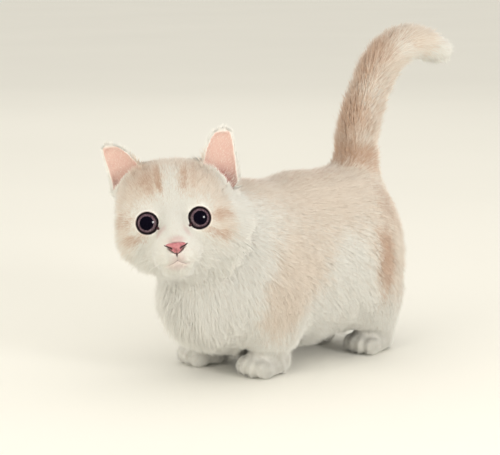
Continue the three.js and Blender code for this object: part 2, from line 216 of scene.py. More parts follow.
class Wire:
    def __init__(self, finish, socket):
        self.finish = finish
        self.socket = socket

    def maths(self, operation, *others):
        inputs = dict(enumerate((self, *others)))
        return self.finish.add("ShaderNodeMath", {"operation": operation}, inputs)

    def __add__(self, other):
        return self.maths("ADD", other)

    def __sub__(self, other):
        return self.maths("SUBTRACT", other)

    def __mul__(self, other):
        return self.maths("MULTIPLY", other)

    def __radd__(self, other):
        return self + other

    def __rmul__(self, other):
        return self * other

    def __rsub__(self, other):
        return self.finish.add("ShaderNodeMath", {"operation": "SUBTRACT"}, {0: other, 1: self})


class Finish:
    def __init__(self, name, **constants):
        self.material = bpy.data.materials.new(name)
        self.material.use_nodes = True
        self.tree = self.material.node_tree
        self.shader = self.tree.nodes["Principled BSDF"]
        for socket, value in constants.items():
            self.shader.inputs[socket.replace("_", " ")].default_value = value

    def add(self, kind, settings=None, inputs=None, output=0):
        node = self.tree.nodes.new(kind)
        for name, value in (settings or {}).items():
            setattr(node, name, value)
        for key, value in (inputs or {}).items():
            socket = node.inputs[key]
            if isinstance(value, Wire):
                self.tree.links.new(value.socket, socket)
            else:
                socket.default_value = value
        return Wire(self, node.outputs[output])

    def mix(self, factor, first, second):
        pick = [value if isinstance(value, Wire) else (*value, 1) for value in (first, second)]
        return self.add("ShaderNodeMix", {"data_type": "RGBA"}, {0: factor, 6: pick[0], 7: pick[1]}, 2)

    def step(self, low, high, value):
        ranges = {"Value": value, "From Min": low, "From Max": high}
        return self.add("ShaderNodeMapRange", {"interpolation_type": "SMOOTHSTEP"}, ranges)

    def place(self):
        return self.add("ShaderNodeTexCoord", output="Object")

    def noise(self, size, detail=2, roughness=0.5):
        inputs = {"Vector": self.place(), "Scale": 1 / size, "Detail": detail, "Roughness": roughness}
        return self.add("ShaderNodeTexNoise", {}, inputs)

    def number(self, name):
        return self.add("ShaderNodeAttribute", {"attribute_name": name}, output="Fac")

    def parts(self, name):
        colour = self.add("ShaderNodeAttribute", {"attribute_name": name}, output="Color")
        return [self.add("ShaderNodeSeparateColor", {}, {0: colour}, n) for n in range(3)]

    def bump(self, height, distance, strength=1.0):
        inputs = {"Height": height, "Distance": distance, "Strength": strength}
        self.feed("Normal", self.add("ShaderNodeBump", {}, inputs))

    def feed(self, name, wire):
        self.tree.links.new(wire.socket, self.shader.inputs[name])


def layFloor():
    floor = newPrimitive("circle", "floor", vertices=96, radius=studio["floorRadius"], fill_type="NGON")
    finish = Finish("floorPaint", Roughness=0.7)
    tone = finish.noise(0.4, 3)
    lift = [min(1, 1.05 * part) for part in studio["floorColour"]]
    finish.feed("Base Color", finish.mix(tone, studio["floorColour"], lift))
    floor.data.materials.append(finish.material)
    floor.visible_glossy = False


layFloor()
print("floor laid")


# The two frames that the shapes are told in, both in millimetres: the body's, with its zero on the floor
# below the shoulders, and the head's, midway between the eyes, with -y ahead of the face and x to its left

pose = {
    "turn": 52.5, "lift": 9, "tilt": 5.5,  # of the head, in degrees
    "headPlace": (32, -92.7, 104), "eyeDepth": 7.15, "eyesTurnOut": 7,
}
headTurn = (
    Matrix.Rotation(math.radians(pose["turn"]), 3, "Z")
    @ Matrix.Rotation(math.radians(-pose["lift"]), 3, "X")
    @ Matrix.Rotation(math.radians(-pose["tilt"]), 3, "Y")
)
headAxes = np.array(headTurn)
eyeBoxes = {side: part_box("eye_" + side) for side in ("left", "right")}
eyeSpots = {side: (low + high) / 2 for side, (low, high) in eyeBoxes.items()}
eyeRadius = (eyeBoxes["left"][1] - eyeBoxes["left"][0]).z / 2
betweenEyes = np.array((eyeSpots["left"] + eyeSpots["right"]) / 2)
headZero = betweenEyes - headAxes @ np.array((0, pose["eyeDepth"] * mm, 0))
bodyZero = headZero - np.array(pose["headPlace"]) * mm


def inHead(points):
    return (points - headZero) @ headAxes / mm


def inBody(points):
    return (points - bodyZero) / mm


def fromHead(spots):
    return np.asarray(spots, float) * mm @ headAxes.T + headZero


def fromBody(spots):
    return np.asarray(spots, float) * mm + bodyZero


eyeAxes = {}
for side, sign in (("left", 1), ("right", -1)):
    outward = Matrix.Rotation(math.radians(pose["eyesTurnOut"] * sign), 3, "Z")
    eyeAxes[side] = np.array(headTurn @ outward)


# Combing: each stroke says where it is, which way the coat lies there, its length, its lift in degrees, the
# width of a tuft, and how far the stroke reaches. A stroke beside the middle is made on both sides.

tailPath = np.array([
    (0, 79, 112), (0, 79.3, 126), (0, 82, 142), (0, 88.5, 160), (0, 98, 177),
    (0, 110, 189), (0, 127, 194.5), (0, 146, 191.5), (0, 163, 184),
])
bodyStrokes = [  # piece, place, lie, length, lift, width, reach
    ("back", (0, -46, 110), (0, 1, 0), 7, 27, 0.55, 14),
    ("back", (0, -20, 114), (0, 1, 0.1), 7, 24, 0.55, 16),
    ("back", (0, 15, 116), (0, 1, 0), 7, 22, 0.55, 18),
    ("rump", (0, 50, 118), (0, 1, 0), 7, 22, 0.55, 18),
    ("back", (22, -10, 106), (0.2, 1, -0.35), 7, 24, 0.55, 16),
    ("rump", (24, 40, 106), (0.2, 1, -0.35), 7, 24, 0.55, 18),
    ("flank", (37, 0, 88), (0, 0.9, -0.6), 7.5, 27, 0.55, 17),
    ("flank", (38, 32, 84), (0, 0.9, -0.6), 7.5, 27, 0.55, 17),
    ("flank", (39, 30, 60), (0, 0.5, -0.8), 8, 29, 0.55, 15),
    ("belly", (33, 20, 36), (0, 0.7, -0.85), 8.5, 33, 0.55, 13),
    ("belly", (18, 20, 19), (0, 0.8, -0.5), 8.5, 36, 0.55, 12),
    ("belly", (0, 18, 15), (0, 1, -0.2), 8.5, 36, 0.55, 13),
    ("belly", (0, 50, 18), (0, 1, -0.1), 8, 36, 0.55, 13),
    ("chest", (3, -71, 56), (0, -0.1, -1), 9.5, 25, 0.55, 13),
    ("chest", (24, -62, 55), (0.15, 0.3, -1), 9.5, 25, 0.55, 13),
    ("chest", (0, -55, 30), (0, 0.4, -0.9), 9, 30, 0.55, 12),
    ("chest", (10, -72, 74), (0.05, -0.1, -1), 9, 25, 0.55, 11),
    ("chest", (33, -52, 78), (0.1, 0.6, -0.9), 9, 25, 0.55, 12),
    ("shoulder", (38, -30, 68), (0, 0.45, -0.9), 7.5, 27, 0.55, 14),
    ("shoulder", (38, -18, 50), (0, 0.25, -1), 6, 26, 0.5, 11),
    ("legs", (35, -14, 34), (0, 0.15, -1), 4.6, 25, 0.42, 8),
    ("legs", (24, -28, 30), (0, 0, -1), 4.6, 25, 0.42, 8),
    ("legs", (10, -20, 30), (0, 0.1, -1), 4.6, 27, 0.42, 8),
    ("legs", (24, 0, 30), (0, 0.2, -1), 4.8, 27, 0.42, 8),
    ("haunch", (39, 62, 78), (0, 0.7, -0.75), 7.5, 26, 0.55, 15),
    ("haunch", (41, 66, 55), (0, 0.35, -0.95), 7, 25, 0.55, 13),
    ("haunch", (34, 90, 62), (-0.1, 0.2, -1), 7.5, 28, 0.55, 14),
    ("haunch", (12, 101, 70), (0, 0, -1), 8, 30, 0.55, 13),
    ("rump", (12, 98, 100), (0, 0.5, -1), 7, 26, 0.55, 11),
    ("haunch", (20, 96, 42), (0, -0.2, -1), 7, 29, 0.55, 12),
    ("legs", (36, 76, 30), (0, 0, -1), 4.8, 25, 0.42, 8),
    ("legs", (24, 60, 28), (0, -0.1, -1), 4.6, 26, 0.42, 8),
    ("legs", (12, 76, 30), (0, 0, -1), 4.8, 27, 0.42, 8),
    ("legs", (22, 90, 28), (0, -0.1, -1), 4.8, 27, 0.42, 8),
]
for n in range(1, len(tailPath)):
    run = unit(tailPath[min(n + 1, len(tailPath) - 1)] - tailPath[n - 1])
    bodyStrokes.append(("tail", tuple(tailPath[n]), tuple(run), 7.5, 36, 0.8, 9))
pawStrokes = [  # the same, from the middle of a paw's sole
    ("paws", (0, -6, 16), (0, -1, -0.6), 3.4, 28, 0.4, 6),
    ("paws", (0, -14, 8), (0, -0.5, -1), 2.4, 27, 0.36, 5),
    ("paws", (11, -4, 9), (0.1, -0.8, -0.7), 3.0, 28, 0.4, 5),
    ("paws", (-11, -4, 9), (-0.1, -0.8, -0.7), 3.0, 28, 0.4, 5),
    ("paws", (0, 14, 9), (0, 0.1, -1), 3.6, 28, 0.42, 5),
    ("paws", (0, 0, 0), (0, -1, 0), 1.2, 15, 0.45, 5),
]
pawPlaces = [(23.5, -16.5, 6), (-21.5, -27, -6), (23, 73, 9), (-16, 57, -9)]  # x, y and turn of each
headStrokes = [  # the lie runs away from the nose unless it is given
    ("face", (0, -6, -6), None, 1.5, 20, 0.34, 5),
    ("face", (0, 1, 6), None, 1.9, 22, 0.36, 6),
    ("crown", (0, 4, 18), None, 3.2, 24, 0.5, 8),
    ("crown", (14, 6, 18), None, 3.2, 25, 0.5, 8),
    ("crown", (0, 20, 32), (0, 1, 0.1), 4.6, 26, 0.65, 11),
    ("crown", (14, 34, 32), (0.1, 1, -0.1), 5, 28, 0.7, 11),
    ("crown", (0, 48, 26), (0, 1, -0.4), 6, 28, 0.55, 12),
    ("crown", (26, 14, 14), None, 4, 27, 0.55, 7),
    ("face", (14, 1, 9), (0.1, 0.5, 1), 1.6, 24, 0.36, 5),
    ("face", (23, 5, 0), (1, 0.8, 0), 2.2, 25, 0.38, 5),
    ("face", (15, 0, -9), (0.7, 0.5, -0.6), 1.8, 24, 0.36, 5),
    ("face", (7, -3, -2), (0.2, 0.4, 1), 1.3, 20, 0.34, 4),
    ("face", (7, -9, -16), (1, 0.5, -0.5), 1.7, 25, 0.36, 4),
    ("face", (12, -3, -20), (1, 0.7, -0.5), 2.6, 28, 0.4, 4),
    ("face", (0, -6, -26), (0, 0.2, -1), 2.0, 26, 0.38, 4),
    ("cheeks", (8, -1, -29), (0.5, 0.3, -1), 3.6, 30, 0.5, 6),
    ("cheeks", (20, 6, -17), (1, 0.5, -0.7), 4.4, 30, 0.5, 7),
    ("cheeks", (30, 14, -6), (1, 0.9, -0.35), 5.4, 30, 0.42, 8),
    ("cheeks", (33, 24, -14), (0.9, 0.6, -0.8), 8.5, 31, 0.5, 9),
    ("cheeks", (22, 18, -26), (0.7, 0.3, -1), 8.5, 32, 0.5, 9),
    ("cheeks", (0, 12, -32), (0, 0.4, -1), 7, 33, 0.5, 9),
    ("cheeks", (35, 32, 4), (0.4, 1, -0.4), 6.5, 29, 0.5, 10),
    ("cheeks", (35, 36, -26), (0.5, 0.7, -0.9), 9, 27, 0.5, 11),
    ("cheeks", (22, 30, -38), (0.3, 0.5, -1), 9, 27, 0.5, 11),
]
earShapes = {
    "left": {"sign": 1, "root": (28.5, 27, 8), "tip": (34, 21.5, 49.8)},
    "right": {"sign": -1, "root": (-21.5, 27, 8), "tip": (-33.5, 21.5, 47.2)},
}
earHalfWidth = 13.8


def earSpot(side, spots):
    shape = earShapes[side]
    root, tip = np.array(shape["root"]), np.array(shape["tip"])
    facing = unit(np.array((0.28 * shape["sign"], -0.94, 0.2)))
    across = unit(np.cross((0.1 * shape["sign"], 0, 1), facing))
    height = (spots[:, 2] - root[2]) / (tip[2] - root[2])
    held = np.clip(height, 0, 1)
    middle = root + (tip - root) * held[:, None]
    middle[:, 0] = root[0] + (tip[0] - root[0]) * held ** 2.2
    middle[:, 1] += 1.2 * np.sin(held * math.pi)
    offset = spots - middle
    wide = earHalfWidth * (1 - held) ** 0.33
    return {
        "height": height, "side": offset @ across, "ahead": offset @ facing,
        "wide": wide, "across": across, "facing": facing, "lie": unit(tip - root),
    }


def strokeTable():
    rows = []
    for piece, place, lie, length, lift, width, reach in bodyStrokes:
        for sign in ((1, -1) if place[0] > 3.5 else (1,)):
            flip = np.array((sign, 1, 1))
            rows.append((piece, fromBody(place * flip), lie * flip, length, lift, width, reach))
    for x, y, turn in pawPlaces:
        spin = np.array(Matrix.Rotation(math.radians(turn), 3, "Z"))
        for piece, place, lie, length, lift, width, reach in pawStrokes:
            rows.append((piece, fromBody(spin @ place + (x, y, 0)), spin @ lie, length, lift, width, reach))
    for piece, place, lie, length, lift, width, reach in headStrokes:
        for sign in ((1, -1) if place[0] > 0 else (1,)):
            flip = np.array((sign, 1, 1))
            spot = place * flip
            run = lie * flip if lie else spot - (0, -20, -12)
            rows.append((piece, fromHead(spot), headAxes @ run, length, lift, width, reach))
    for shape in earShapes.values():
        root, tip = np.array(shape["root"]), np.array(shape["tip"])
        for across, up in ((-8, 23), (0.5, 17), (7.5, 9)):
            spot = (root[0] + across * shape["sign"], 16, root[2] + up)
            run = np.array(((0.35 + 0.04 * across) * shape["sign"], -0.15, 1.0 - 0.03 * across))
            rows.append(("crown", fromHead(spot), headAxes @ run, 6.5, 36, 0.34, 4))
        for height, length in ((0.25, 3), (0.55, 2.3), (0.85, 1.8)):
            spot = root + (tip - root) * height + (0, 6, 0)
            rows.append(("ears", fromHead(spot), headAxes @ (tip - root), length, 20, 0.42, 7))
    return rows


pieceNames = ["face", "crown", "cheeks", "ears", "chest", "shoulder", "back", "flank", "belly", "rump",
              "haunch", "legs", "paws", "tail"]


class Combing:
    def __init__(self, skin):
        rows = strokeTable()
        tree = KDTree(len(skin.data.vertices))
        for n, vertex in enumerate(skin.data.vertices):
            tree.insert(vertex.co, n)
        tree.balance()
        spots = [tree.find(row[1]) for row in rows]
        self.places = np.array([spot[0] for spot in spots])
        self.outward = np.array([skin.data.vertices[spot[1]].normal for spot in spots])
        self.lies = unit(np.array([row[2] for row in rows]))
        self.sizes = np.array([row[3:6] for row in rows], float)
        self.reach = np.array([row[6] for row in rows]) * mm
        self.piece = np.array([pieceNames.index(row[0]) for row in rows])

    def at(self, points, normals):
        lies, sizes, piece = [], [], []
        for start in range(0, len(points), 20000):
            spots, faces = points[start:start + 20000], normals[start:start + 20000]
            distance = np.linalg.norm(spots[:, None] - self.places[None], axis=2) / self.reach
            agree = np.clip(0.55 + 0.55 * (faces @ self.outward.T), 0.02, 1)
            weight = (np.exp(-0.5 * distance ** 2) + 1e-9 / (1 + distance ** 4)) * agree ** 2
            weight /= weight.sum(1, keepdims=True)
            lies.append(weight @ self.lies)
            sizes.append(weight @ self.sizes)
            share = np.zeros((len(spots), len(pieceNames)))
            for n, name in enumerate(self.piece):
                share[:, name] += weight[:, n]
            piece.append(share.argmax(1))
        lies, sizes, piece = np.concatenate(lies), np.concatenate(sizes), np.concatenate(piece)
        return lies, sizes[:, 0], sizes[:, 1], sizes[:, 2], piece


def tipHeight(length, lift):
    return length * np.sin(np.radians(lift)) * 0.8


# Places on the face and ears that the coat leaves bare or keeps short

mouth = {"philtrumTop": -18.2, "parting": -22.3, "cornerX": 6.8, "cornerZ": -24.9}


def lipHeight(x):
    across = [0, 2.2, 4.6, mouth["cornerX"]]
    return np.interp(np.abs(x), across, [mouth["parting"], -23.5, -24.5, mouth["cornerZ"]])


def mouthGroove(spots):
    front = 1 - ease(3, 8, spots[:, 1])
    lip = bell(spots[:, 2] - lipHeight(spots[:, 0]), 0.75) * (1 - ease(8.5, 10.5, np.abs(spots[:, 0])))
    cleft = bell(spots[:, 0], 0.6) * ease(mouth["parting"] - 0.8, mouth["parting"], spots[:, 2])
    cleft *= 1 - ease(mouth["philtrumTop"], mouth["philtrumTop"] + 1.5, spots[:, 2])
    above = bell(spots[:, 2] - lipHeight(spots[:, 0]) - 2.2, 1.0) * bell(np.abs(spots[:, 0]) - 4.5, 2.6)
    return np.maximum(lip, cleft) * front, above * front


def eyeDistance(points):
    nearest = np.full(len(points), 1e3)
    away = np.zeros((len(points), 3))
    for side, axes in eyeAxes.items():
        offset = (points - np.array(eyeSpots[side])) @ axes / mm
        ring = np.hypot(offset[:, 0], offset[:, 2])
        ahead = offset[:, 1] < 2
        closer = ahead & (ring < nearest)
        nearest[closer] = ring[closer]
        outward = np.stack([offset[:, 0], np.zeros(len(points)), offset[:, 2]], 1) @ axes.T
        away[closer] = unit(outward)[closer]
    return nearest, away


def innerEar(spots, normals):
    inside = np.zeros(len(spots))
    for side in earShapes:
        ear = earSpot(side, spots)
        toFocus = unit(np.stack([-ear["side"], 3.5 - ear["ahead"]], 1))
        facing = toFocus[:, 0] * (normals @ ear["across"]) + toFocus[:, 1] * (normals @ ear["facing"])
        within = ease(0.06, 0.14, ear["height"]) * (1 - ease(0.93, 0.99, ear["height"]))
        within *= 1 - ease(0.86, 1.0, np.abs(ear["side"]) / np.maximum(ear["wide"], 0.1))
        within *= (1 - ease(0.8, 2.0, ear["ahead"])) * ease(-9, -8, ear["ahead"])
        inside = np.maximum(inside, within * ease(0.1, 0.45, facing))
    return inside


def deepEar(spots):
    deep = np.zeros(len(spots))
    for side in earShapes:
        ear = earSpot(side, spots)
        across = ear["side"] * earShapes[side]["sign"]
        low = 0.9 * bell(ear["height"] - 0.26, 0.13) * bell(across - 1, 6)
        canal = bell(ear["height"] - 0.17, 0.07) * bell(across - 2.5, 3)
        deep = np.maximum(deep, np.maximum(low, canal) * ease(-12, -9, ear["ahead"]))
    return deep


def onEar(spots):
    share = np.zeros(len(spots))
    for side in earShapes:
        ear = earSpot(side, spots)
        near = 1 - ease(1.0, 1.25, np.abs(ear["side"]) / np.maximum(ear["wide"], 2.5))
        near = near * ease(0.12, 0.3, ear["height"]) * (1 - ease(2, 4, ear["ahead"]))
        share = np.maximum(share, near * ease(-13, -10, ear["ahead"]))
    return share


# Markings: soft patches of cream and ginger on white, told as ellipsoids in the head's or the body's frame; a
# few of them are painted shade, under the mouth and on the tail's right side

patches = {  # place, radii, strength, and for some the turn in degrees about x, y and z
    ("body", "cream"): [
        ((0, 36, 106), (60, 74, 42), 0.95),
        ((0, -24, 112), (24, 26, 22), 0.9),
        ((0, 98, 90), (34, 22, 34), 0.7),
        ((0, 80, 142), (18, 20, 28), 0.95, -12, 0, 0),
        ((0, 98, 178), (18, 22, 28), 0.95, -35, 0, 0),
        ((0, 128, 198), (18, 26, 14), 0.85),
        # partly the tail's cream, partly painted shade on the tail's right side
        ((8, 100, 148), (18, 13, 38), 0.9, -24, 0, 0),
    ],
    ("body", "ginger"): [
        ((0, 76, 121), (20, 18, 9), 0.95, -10, 0, 0),
        ((0, -16, 112), (16, 16, 8), 0.35),
        ((0, 34, 119), (22, 60, 14), 0.45),
        ((-3, 71, 148), (19, 13, 34), 0.9, -10, 0, 0),
        ((-3, 89, 184), (18, 13, 30), 0.85, -38, 0, 0),
        ((-2, 112, 197), (18, 22, 10), 0.35),
        # partly the tail's ginger, partly painted shade on the tail's right side
        ((6, 90, 150), (16, 15, 38), 0.35, -24, 0, 0),
    ],
    ("head", "cream"): [
        ((-15, 12, 25), (16, 20, 19), 1),
        ((15, 12, 25), (15, 20, 18), 0.95),
        ((0, 27, 35), (26, 20, 9), 0.9),
        ((-30, 8, -6), (12, 15, 20), 0.6),
        ((29, 9, -3), (13, 15, 17), 0.7),
        ((-27, 16, 14), (10, 14, 13), 0.7),
        ((26, 14, 14), (11, 13, 11), 0.6),
        ((0, 48, 30), (22, 16, 12), 0.7),
    ],
    ("head", "ginger"): [
        ((-15, 14, 27), (15, 20, 15), 0.55),
        ((15, 14, 27), (14, 18, 14), 0.36),
        ((-6.5, 8, 25), (2.8, 12, 17), 0.75, 0, -6, 0),
        ((-12, 8, 21), (2.6, 12, 12), 0.5, 0, -10, 0),
        ((7.5, 8, 25), (2.8, 12, 15), 0.6, 0, 6, 0),
        ((13, 10, 23), (2.6, 12, 10), 0.4, 0, 12, 0),
        ((-23.5, 4, -8), (9, 10, 4.4), 0.7, 0, -14, 0),
        ((25, 6, -9), (13, 11, 3.8), 0.66, 0, 16, 0),
        ((28, 8, 0.8), (13, 12, 3.8), 0.72, 0, 6, 0),
        ((-28, 8, 2), (9, 12, 5), 0.6, 0, -8, 0),
    ],
    ("head", "white"): [
        ((0.5, -6, 6), (5.2, 18, 19), 1),
        ((0, -4, -22), (16, 16, 13), 1),
    ],
    ("head", "blush"): [
        ((0, -10, -12), (5.6, 8, 2), 0.5),
        ((0, -9, -20), (3.4, 6, 3), 0.45),
        # painted shade under the mouth, where the lower lip faces up into the light
        ((0, -7, -23.6), (8, 9, 1.9), 0.35),
    ],
    ("body", "white"): [
        ((0, 20, 8), (60, 80, 26), 0.9),
        ((0, 172, 182), (16, 16, 14), 0.9),
    ],
}
pairedPatches = {  # the same, on both sides
    ("body", "cream"): [
        ((44, 0, 72), (22, 32, 36), 0.9),
        ((44, -19, 44), (20, 19, 30), 0.85),
        ((38, 80, 70), (24, 30, 42), 0.8),
    ],
    ("body", "ginger"): [
        ((41, 68, 66), (14, 10, 31), 0.95, 6, 0, 0),
        ((26, 80, 98), (22, 18, 22), 0.55),
    ],
    ("head", "blush"): [
        ((7.2, -1, -6), (2.2, 8, 4.2), 0.5, 0, -18, 0),
    ],
    ("body", "white"): [
        ((40, 39, 50), (18, 14, 38), 0.85),
    ],
}


def patchRows():
    for table, signs in ((patches, (1,)), (pairedPatches, (1, -1))):
        for (name, tint), rows in table.items():
            for (x, y, z), radii, strength, *turn in rows:
                a, b, c = turn or (0, 0, 0)
                for sign in signs:
                    yield name, tint, (sign * x, y, z), radii, (a, sign * b, sign * c), strength


def markingsAndShade(points, normals):
    frames = {"head": inHead(points), "body": inBody(points)}
    sway = np.stack([np.sin(frames["body"] @ np.array(way) + n) for n, way in enumerate(
        [(0.31, 0.17, 0.23), (0.19, -0.27, 0.29), (-0.23, 0.33, 0.13)])], 1)
    tints = {tint: np.zeros(len(points)) for tint in ("cream", "ginger", "white", "blush")}
    onHead = ease(-46, -52, frames["body"][:, 1] - 0.3 * (frames["body"][:, 2] - 90))
    for name, tint, place, radii, turn, strength in patchRows():
        spin = np.array((
            Matrix.Rotation(math.radians(turn[2]), 3, "Z")
            @ Matrix.Rotation(math.radians(turn[1]), 3, "Y")
            @ Matrix.Rotation(math.radians(turn[0]), 3, "X")
        ))
        offset = (frames[name] + 1.1 * sway - place) @ spin / radii
        share = strength * (1 - ease(0.25, 1.3, np.linalg.norm(offset, axis=1)))
        if name == "head":
            share = share * onHead
        tints[tint] = tints[tint] + share - tints[tint] * share
    keep = 1 - tints["white"]
    bare = innerEar(frames["head"], normals @ headAxes)
    return np.stack([tints["cream"] * keep, tints["ginger"] * keep, bare, tints["blush"]], 1)


# Skin: one surface for all the flesh, inside the solids by the depth of the coat

skinMake = {
    "grow": 0.4 * mm,  # closes the gaps between the nodes
    "voxel": 0.85 * mm,
    "bodySmoothing": 70,
    "headSmoothing": 9,
    "earDepth": 0.45, "lidDepth": 0.9,  # how deep the skin lies there
    "wristRadii": (13.4, 12.5, 9), "wristHeight": 18.5,
    "lipGroove": 0.55, "lipPad": 0.35,
    "triangles": 170000,
}


flesh = [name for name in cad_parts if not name.startswith("eye") and name != "nose"]


def copyOfNode(name):
    piece = linked(name + "Copy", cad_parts[name].data.copy())
    piece.data.materials.clear()
    only(piece)
    bpy.ops.mesh.customdata_custom_splitnormals_clear()
    inEditMode(piece, bpy.ops.mesh.remove_doubles, threshold=1e-5)
    return piece


def groupOf(piece, name, weights):
    group = piece.vertex_groups.new(name=name)
    levels = np.round(weights * 10).astype(int)
    for level in range(1, 11):
        group.add(np.flatnonzero(levels == level).tolist(), level / 10, "REPLACE")
    return name


def edgesOf(piece):
    edges = np.zeros(2 * len(piece.data.edges), np.int32)
    piece.data.edges.foreach_get("vertices", edges)
    return edges.reshape(-1, 2)


def spreadOut(values, edges, rounds):
    count = np.bincount(edges.ravel(), minlength=len(values)).astype(float)
    for _ in range(rounds):
        total = np.empty_like(values)
        for n in range(values.shape[1]):
            column = values[:, n]
            total[:, n] = (np.bincount(edges[:, 0], column[edges[:, 1]], len(values))
                           + np.bincount(edges[:, 1], column[edges[:, 0]], len(values)))
        values = 0.5 * values + 0.5 * total / np.maximum(count, 1)[:, None]
    return values


def wristFlesh(x, y):  # fills the fold between a leg and its paw
    wrist = newPrimitive("uv_sphere", "wristFlesh", segments=32, ring_count=20, radius=1)
    middle = (x, y + 3.5, skinMake["wristHeight"])
    movePoints(wrist, fromBody(pointsOf(wrist) * skinMake["wristRadii"] + middle))
    return wrist


def makeSkin():
    wrists = [wristFlesh(*place[:2]) for place in pawPlaces]
    skin = joined("skin", [copyOfNode(name) for name in flesh] + wrists)
    applyModifier(skin, "DISPLACE", strength=skinMake["grow"], mid_level=0)
    applyModifier(skin, "REMESH", mode="VOXEL", voxel_size=skinMake["voxel"])
    points = pointsOf(skin)
    spots, places = inHead(points), inBody(points)
    ear = onEar(spots)
    head = (1 - ease(12, 24, spots[:, 1])) * ease(-42, -34, spots[:, 2])
    head = np.maximum(head * (1 - ease(28, 38, np.abs(spots[:, 0]))), ear)
    paw = 1 - ease(14, 22, places[:, 2])
    fine = np.maximum(head, 0.82 * paw)
    applyModifier(skin, "SMOOTH", factor=0.5, iterations=skinMake["bodySmoothing"],
                  vertex_group=groupOf(skin, "broad", 1 - fine))
    applyModifier(skin, "SMOOTH", factor=0.5, iterations=skinMake["headSmoothing"],
                  vertex_group=groupOf(skin, "narrow", fine * (1 - 0.75 * ear)))
    print("skin shaped:", len(skin.data.vertices), "points")
    combing = Combing(skin)
    points, normals = pointsOf(skin), normalsOf(skin)
    spots = inHead(points)
    length, lift = combing.at(points, normals)[1:3]
    depth = tipHeight(length, lift) - 0.15 + skinMake["grow"] / mm
    depth = np.where(ear > 0, depth * (1 - ear) + skinMake["earDepth"] * ear, depth)
    depth = np.minimum(depth, skinMake["lidDepth"] + 4 * ease(7, 14, eyeDistance(points)[0]))
    edges = edgesOf(skin)
    depth = spreadOut(depth[:, None], edges, 12)[:, 0]
    directions = unit(spreadOut(normals, edges, 4))
    groove = mouthGroove(spots)
    depth = depth + skinMake["lipGroove"] * groove[0] - skinMake["lipPad"] * groove[1]
    points = points - directions * depth[:, None] * mm
    movePoints(skin, points)
    return skin, combing


def thinSkin():
    skin.vertex_groups.clear()
    spots = inHead(pointsOf(skin))
    detailed = np.maximum(onEar(spots), bell(np.linalg.norm(spots - (0, 0, -10), axis=1), 22))
    count = len(skin.data.polygons) * 2
    applyModifier(skin, "DECIMATE", ratio=min(1, skinMake["triangles"] / count),
                  vertex_group=groupOf(skin, "calm", 1 - 0.9 * detailed), vertex_group_factor=1.0)
    skin.vertex_groups.clear()
    applyModifier(skin, "TRIANGULATE")
    print("skin thinned:", len(skin.data.polygons), "triangles")


skin, combing = makeSkin()
thinSkin()


def unwrapSkin():
    while skin.data.uv_layers:
        skin.data.uv_layers.remove(skin.data.uv_layers[0])
    skin.data.uv_layers.new(name="OFBake")
    inEditMode(skin, bpy.ops.uv.smart_project, angle_limit=math.radians(66), island_margin=0.002)


unwrapSkin()
smooth(skin)
addColours(skin, "marking", markingsAndShade(pointsOf(skin), normalsOf(skin)))
addNumbers(skin, "thin", 1 - ease(6.2, 7.4, eyeDistance(pointsOf(skin))[0]))
addNumbers(skin, "deepEar", deepEar(inHead(pointsOf(skin))))
print("skin unwrapped")


# Coat colours, the same for the skin and for its tufts

coatColours = {
    "white": (0.945, 0.945, 0.885),
    "cream": (0.88, 0.765, 0.645),
    "ginger": (0.63, 0.395, 0.265),
    # pink blush on the nose and by the eyes; under the mouth the same tint is painted shade
    "blush": (0.70, 0.43, 0.41),
    "earPink": (0.66, 0.40, 0.34),
    "earPale": (0.74, 0.53, 0.45),
    "earDeep": (0.34, 0.085, 0.09),
    "lidSkin": (0.36, 0.26, 0.25),
    # hairRoot is painted shade deep in the coat, where the tufts meet the skin
    "hairRoot": (0.55, 0.38, 0.30), "hairTip": (0.93, 0.88, 0.80),
    "oddHair": (0.62, 0.50, 0.38), "earHair": (0.95, 0.80, 0.74),
}


def coatColour(finish, chance):
    cream, ginger, bare = finish.parts("marking")
    grain = finish.noise(4 * mm, 3) - 0.5
    fine = finish.noise(1.1 * mm, 2) - 0.5
    creamShare = finish.step(0.05, 0.85, cream + grain * 0.5 + fine * 0.3 + chance * 0.35)
    gingerShare = finish.step(0.12, 1.0, ginger + grain * 0.5 + fine * 0.35 + chance * 0.5)
    colour = finish.mix(creamShare, coatColours["white"], coatColours["cream"])
    colour = finish.mix(gingerShare, colour, coatColours["ginger"])
    # the fourth channel: pink blush on the nose and by the eyes, and painted shade under the mouth
    blush = finish.add("ShaderNodeAttribute", {"attribute_name": "marking"}, output="Alpha")
    return finish.mix(blush, colour, coatColours["blush"]), bare


def skinFinish():
    finish = Finish("skinCoat", Roughness=0.75, Sheen_Weight=0.15)
    colour, bare = coatColour(finish, finish.noise(0.5 * mm, 1) - 0.5)
    pink = finish.mix(finish.noise(3 * mm, 2), coatColours["earPink"], coatColours["earPale"])
    pink = finish.mix(finish.number("deepEar"), pink, coatColours["earDeep"])
    near = finish.mix(finish.number("thin"), colour, coatColours["lidSkin"])
    finish.feed("Base Color", finish.mix(bare, near, pink))
    strands = finish.noise(0.45 * mm, 3, roughness=0.7)
    finish.bump(strands, 0.3 * mm, 0.6)
    return finish.material


skin.data.materials.append(skinFinish())
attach(skin, "root")
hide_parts(*flesh)
print("skin finished")


# Eyes: balls whose pupil, iris and dark rim lie in rings about the line of sight

eyeMake = {
    "pupil": 4.0, "iris": 5.45,  # radii of the rings
    "pupilColour": (0.004, 0.003, 0.008), "irisColour": (0.20, 0.135, 0.16), "irisEdge": (0.05, 0.025, 0.035),
    "rimColour": (0.006, 0.004, 0.006), "bulge": 0.35,
}


